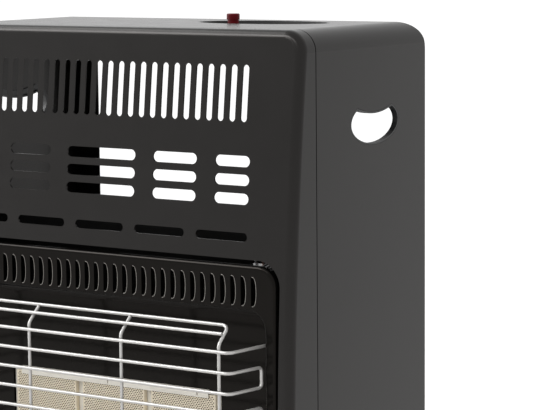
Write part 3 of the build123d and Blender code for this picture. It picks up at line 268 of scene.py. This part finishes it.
def cast(name, color, rough):
    """Die-cast alloy with a pebbled skin."""
    n = Finish(name)
    return n.set(
        Base_Color=n.mix(n.noise(60.0, detail=4.0), shade(color, 0.85), shade(color, 1.08)),
        Roughness=n.span(n.noise(150.0, detail=4.0), rough - 0.08, rough + 0.1),
        Metallic=1.0,
        Normal=n.bump(n.noise(900.0), strength=0.5, distance=0.1 * MM),
    )


def fired_ceramic(name, dull, dark, pale):
    """Chalky ceramic, unevenly fired."""
    n = Finish(name)
    fired = n.mix(n.noise(60.0, detail=5.0), dark, pale)
    return n.set(
        Base_Color=n.mix(n.noise(9.0), dull, fired),
        Roughness=n.span(n.noise(200.0), 0.85, 0.95),
        Normal=n.bump(n.noise(1400.0), strength=0.3, distance=0.1 * MM),
    )


def heat_stained(name, color, rough):
    """Enamel or glaze that heat has stained a little; in the plaques' pores its dark colour is
    painted shade.
    """
    n = Finish(name)
    stain = n.noise(28.0, detail=5.0, rough=0.65)
    return n.set(
        Base_Color=n.mix(stain, shade(color, 0.86), shade(color, 1.05)),
        Roughness=n.span(n.noise(90.0), rough - 0.06, rough + 0.08),
        Normal=n.bump(n.noise(600.0), strength=0.25, distance=0.06 * MM),
    )


FINISH_LIST = (
    ("cabinet_paint", powder_coat, dict(color=(0.0100, 0.0094, 0.0090), rough=0.24, gloss=0.22)),
    # pale grey: a painted highlight on the louvres' cut edges
    ("enamel_edge", enamel, dict(color=(0.2, 0.19, 0.175), rough=0.3, gloss=0.5)),
    # near black: painted shade on the heat shield and housing brackets, seen only through dark
    # slots and gaps
    ("shield_paint", powder_coat, dict(color=(0.004, 0.004, 0.004), rough=0.7, gloss=0.1)),
    ("black_enamel", enamel, dict(color=(0.0035, 0.0033, 0.003), rough=0.13, gloss=0.1)),
    ("zinc_sheet", spangled_zinc, dict(color=(0.55, 0.56, 0.57), rough=0.42)),
    ("aluminised_sheet", bright_metal, dict(color=(0.58, 0.58, 0.56), rough=0.45)),
    ("guard_chrome", bright_metal,
     dict(color=(0.52, 0.51, 0.495), rough=0.36, scale=90.0, metallic=0.45)),
    ("burner_ceramic", fired_ceramic,
     dict(dull=(0.792, 0.702, 0.54), dark=(0.80, 0.70, 0.53), pale=(0.95, 0.86, 0.69))),
    # dark brown: painted shade on the walls of the plaques' pores
    ("burner_pore", heat_stained, dict(color=(0.10, 0.062, 0.034), rough=0.9)),
    ("burner_trim", heat_stained, dict(color=(0.84, 0.80, 0.72), rough=0.6)),
    ("black_plastic", moulded, dict(color=(0.018, 0.018, 0.018), rough=0.5)),
    ("knob_plastic", moulded, dict(color=(0.02, 0.02, 0.02), rough=0.42)),
    ("button_red", moulded, dict(color=(0.12, 0.001, 0.004), rough=0.4, grain=700.0, gloss=0.15)),
    ("piezo_plastic", moulded, dict(color=(0.03, 0.03, 0.03), rough=0.5)),
    ("valve_casting", cast, dict(color=(0.62, 0.62, 0.61), rough=0.42)),
    ("brass", bright_metal, dict(color=(0.80, 0.60, 0.29), rough=0.28)),
    ("steel", bright_metal, dict(color=(0.62, 0.62, 0.63), rough=0.32)),
    # darker than bare aluminium: painted shade for the pilot pipe seen through the dark gap at the
    # pan's upper corner
    ("pipe_aluminium", bright_metal, dict(color=(0.42, 0.42, 0.43), rough=0.5)),
    # dark and dull: partly tarnish, partly painted shade for the thermocouple seen through the dark
    # gap at the pan's upper corner
    ("copper", bright_metal, dict(color=(0.40, 0.21, 0.14), rough=0.5)),
    ("electrode_ceramic", heat_stained, dict(color=(0.86, 0.84, 0.79), rough=0.25)),
    ("lead_insulation", moulded, dict(color=(0.42, 0.04, 0.03), rough=0.5)),
    ("castor_zinc", bright_metal, dict(color=(0.58, 0.58, 0.59), rough=0.38)),
    ("castor_nylon", moulded, dict(color=(0.022, 0.022, 0.023), rough=0.45)),
)
FINISHES = {name: make(name, **look) for name, make, look in FINISH_LIST}


def dress(obj, finish):
    """Gives every material slot of an object one finish."""
    if not obj.material_slots:
        obj.data.materials.append(finish)
    for slot in obj.material_slots:
        slot.link = "OBJECT"
        slot.material = finish


for part in frame["record"]["subparts"]:
    dress(frame["nodes"][part["node"]], FINISHES[part["material_slot"]])


# ---------------------------------------------------------------- pierced plaques
class Sheet:
    """Points and faces of a flat face in X and Z that is looked at from the front."""

    def __init__(self, front):
        self.front = front
        self.points = []
        self.faces = []

    def point(self, x, z, depth=0.0):
        self.points.append((x, self.front + depth, z))
        return len(self.points) - 1

    def quad(self, low_x, high_x, low_z, high_z):
        corners = ((low_x, low_z), (high_x, low_z), (high_x, high_z), (low_x, high_z))
        self.faces.append([self.point(x, z) for x, z in corners])

    def pore(self, x, z, half_x, half_z):
        """One cell of the face with a tapered hole in its middle."""
        rim = [self.point(x + a * half_x, z + b * half_z) for a, b in PORE_RING]
        edge = []
        for a, b in PORE_RING:
            reach = math.hypot(a, b)
            across, up = PORE_HALF_LENGTH * a / reach, PORE_HALF_HEIGHT * b / reach
            edge.append(self.point(x + across, z + up))
        tip = self.point(x, z, PORE_DEPTH)
        for side in range(len(PORE_RING)):
            beside = (side + 1) % len(PORE_RING)
            self.faces.append([rim[side], rim[beside], edge[beside], edge[side]])
            self.faces.append([edge[side], edge[beside], tip])


def pierced_face(low_x, high_x, low_z, high_z, front):
    """Rectangle with staggered rows of fine holes, whose triangles have the second material."""
    sheet = Sheet(front)
    width = high_x - low_x - 2 * PORE_MARGIN
    tall = high_z - low_z - 2 * PORE_MARGIN
    columns, rows = round(width / PORE_PITCH), round(tall / PORE_ROW)
    half_x, half_z = width / columns / 2, tall / rows / 2
    sheet.quad(low_x, high_x, low_z, low_z + PORE_MARGIN)
    sheet.quad(low_x, high_x, high_z - PORE_MARGIN, high_z)
    for row in range(rows):
        z = low_z + PORE_MARGIN + (2 * row + 1) * half_z
        count = columns - row % 2
        first = (low_x + high_x) / 2 - count * half_x
        sheet.quad(low_x, first, z - half_z, z + half_z)
        sheet.quad(first + 2 * count * half_x, high_x, z - half_z, z + half_z)
        for column in range(count):
            sheet.pore(first + (2 * column + 1) * half_x, z, half_x, half_z)
    mesh = bpy.data.meshes.new("pierced_face")
    mesh.from_pydata(sheet.points, [], sheet.faces)
    for face in mesh.polygons:
        face.material_index = int(len(face.vertices) == 3)
    return mesh


def pierced_plaque(place):
    """Burner plaque with its fine holes, instead of the plain one."""
    node = f"plaque_{place}"
    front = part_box(node)[0][1]
    mesh = bmesh.new()
    mesh.from_mesh(frame["nodes"][node].data)
    ahead = [vert for vert in mesh.verts if vert.co.y < front + FLATNESS]
    xs = [vert.co.x for vert in ahead]
    zs = [vert.co.z for vert in ahead]
    flat = [face for face in mesh.faces if all(vert in ahead for vert in face.verts)]
    bmesh.ops.delete(mesh, geom=flat, context="FACES")
    mesh.from_mesh(pierced_face(min(xs), max(xs), min(zs), max(zs), front))
    data = bpy.data.meshes.new(f"pierced_plaque_{place}")
    mesh.to_mesh(data)
    mesh.free()
    piece = bpy.data.objects.new(f"pierced_plaque_{place}", data)
    scene.collection.objects.link(piece)
    data.materials.append(FINISHES["burner_ceramic"])
    # the pores' walls take a dark painted shade
    data.materials.append(FINISHES["burner_pore"])
    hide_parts(node)
    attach(piece, "cabinet")


for place in ("left", "centre", "right"):
    pierced_plaque(place)


# ---------------------------------------------------------------- louvre rims
def rods(name, paths, radius, sides):
    """Round rods along paths that lie in planes facing the front, all in one mesh."""
    mesh = bmesh.new()
    for path in paths:
        rings = []
        for index, point in enumerate(path):
            before = path[max(index - 1, 0)]
            after = path[min(index + 1, len(path) - 1)]
            along = (after - before).normalized()
            across = along.cross(Vector((0.0, 1.0, 0.0))).normalized()
            upward = across.cross(along)
            ring = []
            for side in range(sides):
                angle = 2 * math.pi * side / sides
                offset = across * math.cos(angle) + upward * math.sin(angle)
                ring.append(mesh.verts.new(point + offset * radius))
            rings.append(ring)
        for low, high in zip(rings, rings[1:]):
            for side in range(sides):
                beside = (side + 1) % sides
                face = mesh.faces.new((low[side], low[beside], high[beside], high[side]))
                face.smooth = True
        mesh.faces.new(rings[0][::-1])
        mesh.faces.new(rings[-1])
    bmesh.ops.recalc_face_normals(mesh, faces=mesh.faces)
    data = bpy.data.meshes.new(name)
    mesh.to_mesh(data)
    mesh.free()
    obj = bpy.data.objects.new(name, data)
    scene.collection.objects.link(obj)
    return obj


def rim_path(middle_x):
    """Bowed cut edge of the louvre whose hinge line stands at middle_x."""
    path = []
    for step in range(RIM_STEPS + 1):
        share = RIM_INSET + (1 - 2 * RIM_INSET) * step / RIM_STEPS
        angle = math.pi * share
        bow = LOUVRE_DEPTH * math.sin(angle) ** LOUVRE_BLUNTNESS
        height = LOUVRE_MIDDLE - LOUVRE_HALF * math.cos(angle)
        path.append(Vector((middle_x + bow, PAN_FRONT + RIM_BEHIND, height)))
    return path


def louvre_rims():
    """Pale rods along the louvres' cut edges: a painted highlight where the edges catch the light.
    """
    first = -(LOUVRE_COUNT - 1) / 2
    paths = [rim_path((first + index) * LOUVRE_PITCH) for index in range(LOUVRE_COUNT)]
    rims = rods("louvre_rims", paths, RIM_RADIUS, RIM_SIDES)
    dress(rims, FINISHES["enamel_edge"])
    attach(rims, "cabinet")


louvre_rims()


# ---------------------------------------------------------------- studio
def floor_material():
    """Pale floor that shows white to the camera where no shadow falls."""
    n = Finish("studio_floor")
    return n.set(
        Base_Color=(0.82, 0.82, 0.82),
        Roughness=0.9,
        Specular_IOR_Level=0.0,
        Emission_Color=(1.0, 1.0, 1.0),
        Emission_Strength=n.value("MULTIPLY", n.backdrop_rays(), FLOOR_GLOW),
    )


def floor():
    """Floor that reaches past every view."""
    mesh = bpy.data.meshes.new("studio_floor")
    signs = ((-1, -1), (1, -1), (1, 1), (-1, 1))
    mesh.from_pydata([(x * FLOOR_HALF, y * FLOOR_HALF, 0) for x, y in signs], [], [(0, 1, 2, 3)])
    plane = bpy.data.objects.new("studio_floor", mesh)
    scene.collection.objects.link(plane)
    mesh.materials.append(floor_material())


def world():
    """White studio whose light is dimmer in front of the heater than behind and beside it."""
    studio = bpy.data.worlds.new("studio")
    scene.world = studio
    studio.use_nodes = True
    n = Nodes(studio.node_tree)
    direction = n.add("ShaderNodeSeparateXYZ")
    n.link(n.add("ShaderNodeTexCoord").outputs["Generated"], direction.inputs["Vector"])
    light = n.span(
        direction.outputs["Y"], low=0.62, high=0.95, from_low=-0.75, from_high=0.35,
        kind="SMOOTHSTEP",
    )
    background = n.tree.nodes["Background"]
    background.inputs["Color"].default_value = (1.0, 1.0, 1.0, 1.0)
    n.link(n.value("MAXIMUM", light, n.backdrop_rays()), background.inputs["Strength"])


def area_light(name, place, target, size, power, sheen_only=False):
    """Rectangular lamp in watts, aimed at a point."""
    lamp = bpy.data.lights.new(name, "AREA")
    lamp.shape = "RECTANGLE"
    lamp.size, lamp.size_y = size
    lamp.energy = power
    obj = bpy.data.objects.new(name, lamp)
    obj.location = place
    aim = Vector(target) - Vector(place)
    obj.rotation_euler = aim.to_track_quat("-Z", "Y").to_euler()
    obj.visible_diffuse = not sheen_only
    scene.collection.objects.link(obj)


floor()
world()
area_light(
    "softbox_high", place=(-0.9, -2.2, 2.6), target=(0, 0, 0.4), size=(2.8, 0.6), power=28.0,
)
area_light(
    "softbox_left", place=(-1.6, -0.45, 2.9), target=(0, -0.1, 0.6), size=(1.6, 0.8), power=16.0,
)
area_light(
    "strip_above", place=(-1.5, -1.6, 2.3), target=(0.1, -0.16, 0.53), size=(2.0, 0.9), power=42.0,
    sheen_only=True,
)
area_light(
    "strip_beside", place=(-2.4, -1.0, 0.8), target=(0.2, -0.16, 0.45), size=(0.9, 1.3), power=30.0,
    sheen_only=True,
)


# ---------------------------------------------------------------- camera
def camera():
    """The photograph's viewpoint, solved from the heater's edges and slots."""
    data = bpy.data.cameras.new("camera")
    data.sensor_fit = "HORIZONTAL"
    data.sensor_width = SENSOR_WIDTH
    data.lens = FOCAL_LENGTH / PHOTO_WIDTH * SENSOR_WIDTH
    data.clip_end = VIEW_END
    obj = bpy.data.objects.new("camera", data)
    forward = Vector((
        -math.sin(YAW) * math.cos(PITCH), math.cos(YAW) * math.cos(PITCH), -math.sin(PITCH)
    ))
    side = Vector((math.cos(YAW), math.sin(YAW), 0.0))
    above = side.cross(forward)
    right = side * math.cos(ROLL) + above * math.sin(ROLL)
    up = above * math.cos(ROLL) - side * math.sin(ROLL)
    turn = Matrix((right, up, -forward)).transposed().to_4x4()
    obj.matrix_world = Matrix.Translation(VIEWPOINT) @ turn
    scene.collection.objects.link(obj)
    scene.camera = obj


camera()
scene.view_settings.view_transform = "Standard"
